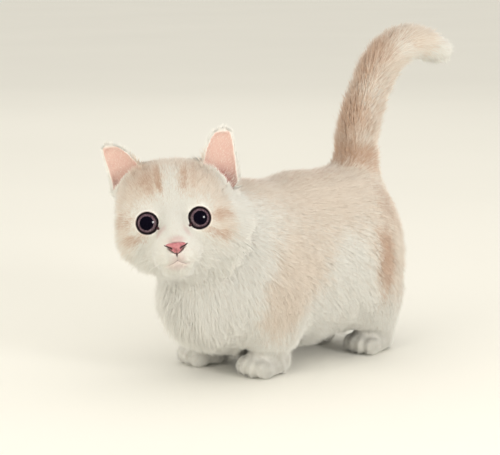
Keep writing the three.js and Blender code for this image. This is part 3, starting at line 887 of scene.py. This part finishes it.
def makeEye(side):
    eye = newPrimitive("uv_sphere", "eyeball" + side.capitalize(), segments=96, ring_count=64,
                       radius=eyeRadius / mm)
    points = pointsOf(eye)
    points = np.stack([points[:, 0], -points[:, 2], points[:, 1]], 1)  # the poles go ahead and behind
    ring = np.hypot(points[:, 0], points[:, 2])
    points[:, 1] -= np.where(points[:, 1] < 0, eyeMake["bulge"] * bell(ring, 3.2), 0)
    addNumbers(eye, "ring", np.where(points[:, 1] < 0, ring, 8))
    movePoints(eye, points * mm @ eyeAxes[side].T + np.array(eyeSpots[side]))
    smooth(eye)
    finish = Finish("eyeShine" + side.capitalize(), Roughness=0.5, Specular_IOR_Level=0.02, Coat_Weight=1.0,
                    Coat_Roughness=0.02)
    ringWire = finish.number("ring")
    pupil, iris = eyeMake["pupil"], eyeMake["iris"]
    fibres = finish.step(0.3, 0.7, finish.noise(0.6 * mm, 3))
    colour = finish.mix(fibres, eyeMake["irisColour"], eyeMake["irisEdge"])
    colour = finish.mix(finish.step(iris - 0.7, iris, ringWire), colour, eyeMake["irisEdge"])
    colour = finish.mix(finish.step(pupil - 0.2, pupil + 0.25, ringWire), eyeMake["pupilColour"], colour)
    colour = finish.mix(finish.step(iris - 0.15, iris + 0.1, ringWire), colour, eyeMake["rimColour"])
    finish.feed("Base Color", colour)
    eye.data.materials.append(finish.material)
    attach(eye, "root")
    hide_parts("eye_" + side)


# Lids: a dark rounded edge round each eye, drawn to a corner towards the nose

lidMake = {
    "circle": 6.05, "thickness": 0.72, "cornerAngle": 22,
    "colour": (0.006, 0.004, 0.006), "paler": (0.016, 0.01, 0.013), "cornerColour": (0.09, 0.035, 0.04),
}


def fromAngle(turn, degrees):
    return np.degrees(np.angle(np.exp(1j * (turn - math.radians(degrees)))))


def makeLid(side, sign):
    lid = newPrimitive("torus", "lidRim" + side.capitalize(), major_segments=96, minor_segments=14,
                       major_radius=lidMake["circle"], minor_radius=lidMake["thickness"])
    points = pointsOf(lid)
    turn = np.arctan2(points[:, 1], points[:, 0])
    ring = np.hypot(points[:, 0], points[:, 1])
    corner = bell(fromAngle(turn, 180 + lidMake["cornerAngle"] if sign > 0 else -lidMake["cornerAngle"]), 15)
    grow = 2.1 * corner + 0.25 * bell(fromAngle(turn, 12 if sign > 0 else 168), 16)
    out = lidMake["circle"] + (ring - lidMake["circle"]) * (1 + 0.5 * corner) + grow
    x, z = out * np.cos(turn), out * np.sin(turn)
    ball = eyeRadius / mm + 0.02
    ahead = np.sqrt(np.maximum(ball ** 2 - np.minimum(out, ball - 0.5) ** 2, 1))
    y = points[:, 2] * 0.75 - ahead + 0.05 + 0.55 * corner
    addNumbers(lid, "corner", corner)
    movePoints(lid, np.stack([x, y, z], 1) * mm @ eyeAxes[side].T + np.array(eyeSpots[side]))
    inEditMode(lid, bpy.ops.mesh.normals_make_consistent, inside=False)
    smooth(lid)
    finish = Finish("lidEdge" + side.capitalize(), Roughness=0.5, Specular_IOR_Level=0.2)
    tone = finish.mix(finish.noise(0.5 * mm, 2), lidMake["colour"], lidMake["paler"])
    finish.feed("Base Color", finish.mix(finish.number("corner") * 0.6, tone, lidMake["cornerColour"]))
    finish.bump(finish.noise(0.3 * mm, 2), 0.08 * mm, 0.5)
    lid.data.materials.append(finish.material)
    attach(lid, "root")


for side, sign in (("left", 1), ("right", -1)):
    makeEye(side)
    makeLid(side, sign)
print("eyes made")


# Nose leather: wide and flat above, drawn in to a point below, with a comma of a nostril on each side

noseMake = {
    "middle": (0, -11.4, -15.1), "depth": 3.4, "halfHeight": 3.055,
    "heights": [-3.1, -2.9, -2, -1, 0, 0.8, 1.6, 2.4, 2.8, 3.0],  # of the outline, and how wide it is there
    "widths": [0, 0.9, 2.1, 3.0, 3.9, 5.0, 5.7, 5.3, 4.2, 0],
    "slit": ([2.1, 2.9, 4.4, 5.3, 6.5], [-0.5, 0.1, 0.75, 1.15, 1.9]),  # x and z of the nostrils
    "colour": (0.44, 0.13, 0.155), "paler": (0.60, 0.25, 0.26), "nostril": (0.035, 0.01, 0.015),
}


def noseWide(z):
    return np.interp(z, noseMake["heights"], noseMake["widths"], left=0, right=0)


def makeNose():
    nose = newPrimitive("uv_sphere", "noseLeather", segments=72, ring_count=64, radius=1)
    points = pointsOf(nose)
    down = (1 - points[:, 2]) / 2
    ring = np.maximum(np.hypot(points[:, 0], points[:, 1]), 1e-6)
    z = noseMake["halfHeight"] * points[:, 2] - 0.025
    x = noseWide(z) * points[:, 0] / ring
    y = noseMake["depth"] * points[:, 1] + 1.4 * down
    hollow = np.zeros(len(points))
    front = ease(0.1, -0.3, points[:, 1])
    for sign in (1, -1):
        slitZ = np.interp(sign * x, *noseMake["slit"])
        within = ease(1.5, 2.5, sign * x)
        hollow = np.maximum(hollow, within * bell(z - slitZ, 0.5 - 0.06 * np.clip(sign * x - 2.9, 0, 3)))
    hollow *= front
    cleft = bell(x, 0.35) * ease(0.6, -1.2, z) * front
    y = y + 1.5 * hollow + 0.5 * cleft
    addNumbers(nose, "hollow", np.maximum(ease(0.25, 0.8, hollow), 0.5 * cleft))
    spots = np.stack([x, y, z], 1) + noseMake["middle"]
    movePoints(nose, fromHead(spots))
    smooth(nose)
    finish = Finish("noseSkin", Roughness=0.42, Coat_Weight=0.15, Specular_IOR_Level=0.5)
    tone = finish.mix(finish.step(0.3, 0.7, finish.noise(1.6 * mm, 3)), noseMake["colour"], noseMake["paler"])
    finish.feed("Base Color", finish.mix(finish.number("hollow"), tone, noseMake["nostril"]))
    pebble = finish.add("ShaderNodeTexVoronoi", {}, {"Vector": finish.place(), "Scale": 1 / (0.5 * mm)})
    finish.bump(pebble, 0.12 * mm, 0.5)
    nose.data.materials.append(finish.material)
    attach(nose, "root")
    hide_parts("nose")


makeNose()
print("nose made")


# Tubes of changing thickness: dark lines at nostrils, upper lip and tear corners, the lips and the whiskers

lineColours = {  # each from one colour to a paler one
    "dark": ((0.05, 0.02, 0.024), (0.10, 0.045, 0.05)),
    "lip": ((0.40, 0.29, 0.28), (0.52, 0.41, 0.38)),
}


def tube(name, lines):
    curve = bpy.data.curves.new(name, "CURVE")
    curve.dimensions = "3D"
    curve.bevel_depth = mm
    curve.bevel_resolution = 1
    curve.use_fill_caps = True
    for spots, radii in lines:
        spline = curve.splines.new("POLY")
        spline.points.add(len(spots) - 1)
        for point, spot, radius in zip(spline.points, spots, radii):
            point.co = (*spot, 1)
            point.radius = radius
    piece = linked(name, curve)
    only(piece)
    bpy.ops.object.convert(target="MESH")
    bpy.ops.object.shade_smooth()
    return piece


def faceTree():
    return BVHTree.FromPolygons(pointsOf(skin).tolist(), triangleData()[0].tolist())


def ontoFace(tree, x, z, proud):
    start = Vector(fromHead((x, -45, z)))
    spot = tree.ray_cast(start, Vector(headAxes @ np.array((0, 1, 0))))[0]
    return np.array(spot) - headAxes @ np.array((0, proud * mm, 0))


def lineFinish(name, tones, **constants):
    finish = Finish(name, Roughness=0.5, **constants)
    finish.feed("Base Color", finish.mix(finish.noise(0.8 * mm, 2), *tones))
    finish.bump(finish.noise(0.3 * mm, 2), 0.05 * mm, 0.4)
    return finish.material


def makeDarkLines(tree):
    cleft = [(0, z) for z in np.linspace(-17.4, mouth["parting"], 8)]
    lines = [([ontoFace(tree, x, z, 0.25) for x, z in cleft], [0.7, 0.55, 0.45, 0.42, 0.4, 0.38, 0.34, 0.25])]
    for side, sign in (("left", 1), ("right", -1)):
        x = np.linspace(4.6, 6.6, 6)
        z = np.interp(x, *noseMake["slit"]) + noseMake["middle"][2]
        lines.append(([ontoFace(tree, sign * a, b, 0.3) for a, b in zip(x, z)],
                      [0.5, 0.48, 0.44, 0.38, 0.3, 0.15]))
        eye = inHead(np.array(eyeSpots[side]))
        reach = np.linspace(5.9, 7.3, 6)
        lines.append(([ontoFace(tree, eye[0] - sign * 0.84 * r, eye[2] - 0.55 * r, 0.1) for r in reach],
                      [1.0, 0.96, 0.88, 0.74, 0.55, 0.3]))
    edges = tube("darkSkin", lines)
    edges.data.materials.append(lineFinish("darkSkinEdge", lineColours["dark"], Specular_IOR_Level=0.2))
    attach(edges, "root")


def makeLips(tree):
    lines = []
    for sign in (1, -1):
        reach = np.linspace(0, mouth["cornerX"], 14)
        lines.append(([ontoFace(tree, sign * x, float(lipHeight(x)), 0.12) for x in reach],
                      0.24 * (1 - 0.8 * ease(2, mouth["cornerX"], reach))))
    lips = tube("lips", lines)
    lips.data.materials.append(lineFinish("lipSkin", lineColours["lip"], Coat_Weight=0.1))
    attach(lips, "root")


whiskerMake = {
    "rows": [  # x and z of the root, lie in the head's frame, length
        (6.5, -16.5, (1, 0.25, 0.1), 20), (8.5, -17.5, (1, 0.3, 0.02), 24),
        (10.5, -18.8, (1, 0.4, -0.08), 24), (6, -18.6, (1, 0.2, -0.12), 18),
        (8.2, -19.8, (1, 0.28, -0.22), 24), (10.2, -21, (1, 0.38, -0.32), 22),
        (7, -21.6, (1, 0.22, -0.45), 16), (9.2, -22.6, (1, 0.3, -0.55), 16),
        (12, 10.5, (0.45, 0.1, 1), 11), (14.5, 10.8, (0.65, 0.15, 1), 12), (17, 10.2, (0.85, 0.2, 0.9), 10),
    ],
    "radius": 0.06,
    "colour": (0.93, 0.90, 0.84), "darker": (0.80, 0.77, 0.72),
}


def makeWhiskers(tree):
    chance = np.random.RandomState(11)
    lines = []
    for sign in (1, -1):
        for x, z, lie, length in whiskerMake["rows"]:
            root = ontoFace(tree, sign * x, z, -0.4)
            run = unit(headAxes @ (np.array(lie) * (sign, 1, 1)) + 0.06 * chance.normal(size=3))
            droop = headAxes @ np.array((0, 0.35, -1)) * (0.10 if z < 0 else -0.02) * length
            t = np.linspace(0, 1, 9)[:, None]
            spots = root + (run * length * t + droop * t ** 2) * mm
            lines.append((spots, whiskerMake["radius"] * (1 - 0.85 * t[:, 0])))
    whiskers = tube("whiskers", lines)
    finish = Finish("whiskerHair", Roughness=0.35)
    tone = finish.noise(6 * mm, 1)
    finish.feed("Base Color", finish.mix(tone, whiskerMake["colour"], whiskerMake["darker"]))
    whiskers.data.materials.append(finish.material)
    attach(whiskers, "root")


# Coat: tufts planted on the skin, in pieces

coatMake = {
    "seed": 7,
    "tufts": 360000,
    "sunk": 0.3,  # how deep a root stands in the skin
    "sunkOnEar": 0.08,
    "ring": [(math.cos(a), math.sin(a)) for a in (math.pi / 2, math.pi * 7 / 6, math.pi * 11 / 6)],
    "softness": 0.45,  # how far the light on a tuft follows the skin below it
    "onInnerEar": 0.09,  # how dense the coat is there
    "clearOfEye": 6.9,
    "patch": 0.003,  # a tuft's share of the map
    "mostInPiece": 49500,
}


def triangleData():
    mesh = skin.data
    corners = np.zeros(3 * len(mesh.polygons), np.int32)
    mesh.polygons.foreach_get("vertices", corners)
    maps = np.zeros(2 * len(mesh.loops), np.float32)
    mesh.uv_layers["OFBake"].data.foreach_get("uv", maps)
    return corners.reshape(-1, 3), maps.reshape(-1, 3, 2).astype(float)


def waves(points, size, seed):
    chance = np.random.RandomState(seed)
    total = np.zeros((len(points), 3))
    for n in range(7):
        way = unit(chance.normal(size=(3, 3))) * (0.6 + 0.9 * chance.rand(3, 1))
        total += np.sin(points @ way.T * (2 * math.pi / size) + chance.rand(3) * 6.28)
    return total / 3.2


tree = faceTree()
makeDarkLines(tree)
makeLips(tree)
makeWhiskers(tree)
print("lips and whiskers made")


def plantRoots():
    chance = np.random.RandomState(coatMake["seed"])
    corners, maps = triangleData()
    points, normals = pointsOf(skin), normalsOf(skin)
    a, b, c = (points[corners[:, n]] for n in range(3))
    area = np.linalg.norm(np.cross(b - a, c - a), axis=1) / 2 / mm ** 2
    middle = (a + b + c) / 3
    facing = unit(normals[corners].sum(1))
    length, width = combing.at(middle, facing)[1:4:2]
    bare = innerEar(inHead(middle), facing @ headAxes)
    ring = eyeDistance(middle)[0]
    density = 2.0 / (width * length) * np.where(length < 3, 0.8, 1.0)
    density *= np.where(bare > 0.4, coatMake["onInnerEar"], 1)
    density *= 1 + 0.8 * (1 - ease(7, 10.5, ring))
    onLid = (ring < 9.5) & (facing @ (headAxes @ (0, -1, 0)) < 0.55)
    density[(ring < coatMake["clearOfEye"]) | onLid] = 0
    nose = inHead(middle) - noseMake["middle"]
    density[(np.abs(nose[:, 0]) < noseWide(nose[:, 2])) & (np.abs(nose[:, 1]) < 5)] = 0
    density[inBody(middle)[:, 2] < 0.25] = 0
    share = np.cumsum(area * density)
    count = coatMake["tufts"]
    marks = (np.arange(count) + chance.rand(count)) / count * share[-1]
    face = np.minimum(np.searchsorted(share, marks), len(corners) - 1)
    u, v = chance.rand(count), chance.rand(count)
    flip = u + v > 1
    u[flip], v[flip] = 1 - u[flip], 1 - v[flip]
    weights = np.stack([1 - u - v, u, v], 1)
    roots = (points[corners[face]] * weights[:, :, None]).sum(1)
    outward = unit((normals[corners[face]] * weights[:, :, None]).sum(1))
    place = (maps[face] * weights[:, :, None]).sum(1)
    return roots, outward, place, chance


def combTufts(roots, outward, chance):
    count = len(roots)
    lies, length, lift, width, piece = combing.at(roots, outward)
    spots = inHead(roots)
    lies = unit(lies)
    # round the eyes the coat runs away from them
    ring, away = eyeDistance(roots)
    near = ((1 - ease(6.5, 14, ring)) * 0.95)[:, None]
    lies = lies * (1 - near) + away * near
    length = length * (1 - 0.4 * (1 - ease(6.5, 12, ring)))
    width = width * (1 - 0.3 * (1 - ease(6.3, 9.5, ring)))
    # ears: their backs and rims carry short fur, the inner skin a few fine hairs
    bare = innerEar(spots, outward @ headAxes)
    ear = onEar(spots)
    lit = outward.copy()  # the light on a tuft follows this direction
    glow = np.zeros(count)
    for side in earShapes:
        sign = earShapes[side]["sign"]
        place = earSpot(side, spots)
        mine = (ear > 0.3) & (np.abs(place["side"]) < place["wide"] + 4) & (np.sign(spots[:, 0]) == sign)
        outer = place["side"] / np.maximum(place["wide"], 2)
        radiating = place["across"] * 0.9 * np.clip(outer, -1, 1)[mine, None] ** 3
        lies[mine] = (place["lie"] + radiating) @ headAxes.T
        edge = np.maximum(ease(0.65, 0.9, np.abs(outer)), ease(0.8, 0.95, place["height"]))
        edge = np.maximum(edge, 1 - ease(0.25, 0.45, place["height"]))
        ahead = headAxes @ place["facing"]
        edge *= ease(-0.95, -0.4, outward @ ahead)
        behind = mine & (outward @ ahead < -0.25)
        lies[behind] = headAxes @ place["lie"]
        length[behind] *= 0.6
        glow[mine] = edge[mine]
        lit[mine] = unit(outward[mine] + 1.8 * edge[mine, None] * ahead)
        low = mine & (bare > 0.4) & (place["height"] < 0.42)
        lies[low] = headAxes @ (sign * 0.8, -0.1, 0.75)
        length[low] = 9 - 14 * place["height"][low]
        lift[low] = 24
    inner = (bare > 0.4) & (length < 3)
    length = np.where(inner, 1.6, length)
    lift = np.where(inner, 20, lift)
    width = np.where(bare > 0.4, 0.16, width)
    # the fur above the line of the mouth stays clear of it
    abovePad = (np.abs(spots[:, 0]) < 10) & (spots[:, 1] < 6)
    toMouth = np.where(abovePad, np.abs(spots[:, 2] - lipHeight(spots[:, 0]) - 0.6), 9)
    length = length * (0.45 + 0.55 * ease(0.3, 2.6, toMouth))
    clump = waves(inBody(roots), 9, 3)
    fine = waves(inBody(roots), 3.2, 5)
    lies = unit(lies) + 0.09 * clump + 0.08 * fine + 0.13 * chance.normal(size=(count, 3))
    lies = unit(lies - outward * (lies * outward).sum(1, keepdims=True))
    lift = np.clip(lift * (1 + 0.14 * clump[:, 0] + 0.24 * chance.normal(size=count)), 6, 62)
    length = np.maximum(length * (1 + 0.10 * clump[:, 1] + 0.13 * chance.normal(size=count)), 0.5)
    width = width * (0.8 + 0.4 * chance.rand(count))
    sunk = np.minimum(np.where(ear > 0.2, coatMake["sunkOnEar"], coatMake["sunk"]), 0.1 * length)
    soft = coatMake["softness"] * (0.7 + 0.3 * ease(3, 5, length) + 0.6 * ease(6.5, 8.5, length))
    soft = soft * (1 - 0.4 * ear) * (1 - glow) + 0.85 * glow
    return lies, length, lift, width, sunk, soft, lit, piece


def tuftMesh(name, roots, outward, lies, length, lift, width, sunk, soft, lit, place, tone):
    count = len(roots)
    angle = np.radians(lift)[:, None]
    run = np.cos(angle) * lies + np.sin(angle) * outward
    sideways = np.cross(outward, lies)
    upright = np.cross(sideways, run)
    base = roots - outward * (sunk * mm)[:, None]
    across = (width * mm / 2)[:, None]
    points = np.empty((count, 4, 3))
    for n, (x, y) in enumerate(coatMake["ring"]):
        points[:, n] = base + (sideways * x - upright * y * 0.6) * across
    points[:, 3] = base + run * (length * mm)[:, None]
    points[:, :, 2] = np.maximum(points[:, :, 2], 0.05 * mm)  # nothing goes below the floor
    faces = np.array([(2, 1, 0), (0, 1, 3), (1, 2, 3), (2, 0, 3)]) + 4 * np.arange(count)[:, None, None]
    faces = faces.reshape(-1, 3)
    mesh = bpy.data.meshes.new(name)
    mesh.vertices.add(4 * count)
    mesh.vertices.foreach_set("co", points.astype(np.float32).ravel())
    mesh.loops.add(faces.size)
    mesh.loops.foreach_set("vertex_index", faces.astype(np.int32).ravel())
    mesh.polygons.add(len(faces))
    mesh.polygons.foreach_set("loop_start", np.arange(0, faces.size, 3, dtype=np.int32))
    mesh.update(calc_edges=True)
    piece = linked(name, mesh)
    spots = (np.array([(0, 0), (0.5, 0), (1, 0), (0.5, 1)]) - 0.5) * coatMake["patch"]
    maps = (place[:, None] + spots[None]).reshape(-1, 2)
    mesh.uv_layers.new(name="OFBake").data.foreach_set("uv", maps[faces.ravel()].astype(np.float32).ravel())
    addNumbers(piece, "along", np.tile([0, 0, 0, 1.0], count))
    addNumbers(piece, "chance", np.repeat(tone, 4))
    addColours(piece, "marking", np.repeat(markingsAndShade(roots, outward), 4, axis=0))
    mesh.shade_smooth()
    own = np.empty_like(points)
    for n, (x, y) in enumerate(coatMake["ring"]):
        own[:, n] = sideways * x - upright * y / 0.6
    own[:, 3] = run - upright * (soft * 3)[:, None]
    share = soft[:, None, None]
    own = unit(share * lit[:, None] + (1 - share) * unit(own))
    mesh.normals_split_custom_set_from_vertices(own.reshape(-1, 3))
    return piece


def tuftFinish():
    finish = Finish("coatTufts", Sheen_Weight=0.5, Sheen_Roughness=0.5, Specular_IOR_Level=0.25)
    along, chance = finish.number("along"), finish.number("chance") - 0.5
    colour, bare = coatColour(finish, chance)
    # the tufts are darker towards their roots: painted shade deep in the coat
    shade = finish.step(0.0, 0.8, along)
    deep = finish.mix(0.16, colour, coatColours["hairRoot"])
    colour = finish.mix(shade, deep, colour)
    paler = finish.mix(finish.step(0.55, 1.0, along) * 0.35, colour, coatColours["hairTip"])
    colour = finish.mix(finish.step(-0.5, 0.5, chance) * 0.18, paler, coatColours["oddHair"])
    finish.feed("Base Color", finish.mix(bare * 0.35, colour, coatColours["earHair"]))
    finish.feed("Roughness", 0.7 - along * 0.15)
    return finish.material


def growCoat():
    roots, outward, place, chance = plantRoots()
    *combed, piece = combTufts(roots, outward, chance)
    tone = chance.rand(len(roots))
    material = tuftFinish()
    total = 0
    for n, name in enumerate(pieceNames):
        mine = np.flatnonzero(piece == n)
        parts = max(1, math.ceil(len(mine) / coatMake["mostInPiece"]))
        inOrder = mine[np.argsort(inBody(roots[mine])[:, 1 if name in ("back", "rump") else 0])]
        for m, batch in enumerate(np.array_split(inOrder, parts)):
            if not len(batch):
                continue
            label = "coat" + name.capitalize() + ("" if parts == 1 else "ABCDEFGH"[m])
            tufts = tuftMesh(label, *(values[batch] for values in (roots, outward, *combed, place, tone)))
            tufts.data.materials.append(material)
            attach(tufts, "root")
            total += len(batch)
            print(label, len(batch), "tufts")
    print("coat grown:", total, "tufts")


growCoat()
